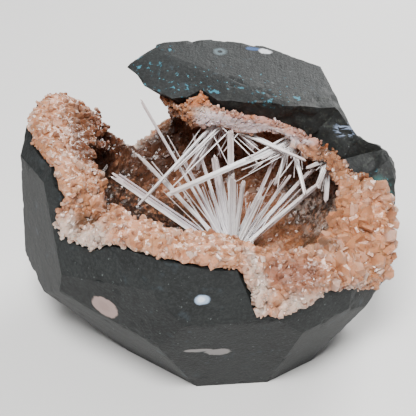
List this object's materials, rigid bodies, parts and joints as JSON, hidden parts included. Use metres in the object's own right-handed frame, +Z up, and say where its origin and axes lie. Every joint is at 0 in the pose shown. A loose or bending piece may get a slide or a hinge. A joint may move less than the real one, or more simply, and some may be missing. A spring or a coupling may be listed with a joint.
{
  "type": "scolecite geode",
  "caption": "Broken basalt geode with a peach crystal crust lining its hollow and sprays of long white needle crystals.",
  "frame": {"origin": "centre of the bounding box in plan, on the flat base it rests on", "axes": "+Z up out of the flat base, +X along the longest extent to the right of the opening as the picture shows it, -Y towards the viewer of the picture"},
  "size_m": [0.1222, 0.1144, 0.0892],
  "materials": {
    "basalt": "sawn and broken stone, matte",
    "heulandite": "blocky crystals, glassy to pearly",
    "scolecite": "silky, translucent needles"
  },
  "bodies": {
    "root": {"basalt_matrix": "basalt", "heulandite_crust": "heulandite", "scolecite_spray_floor": "scolecite", "scolecite_spray_roof_left": "scolecite", "scolecite_spray_roof_right": "scolecite", "scolecite_spray_right": "scolecite"}
  },
  "joints": []
}
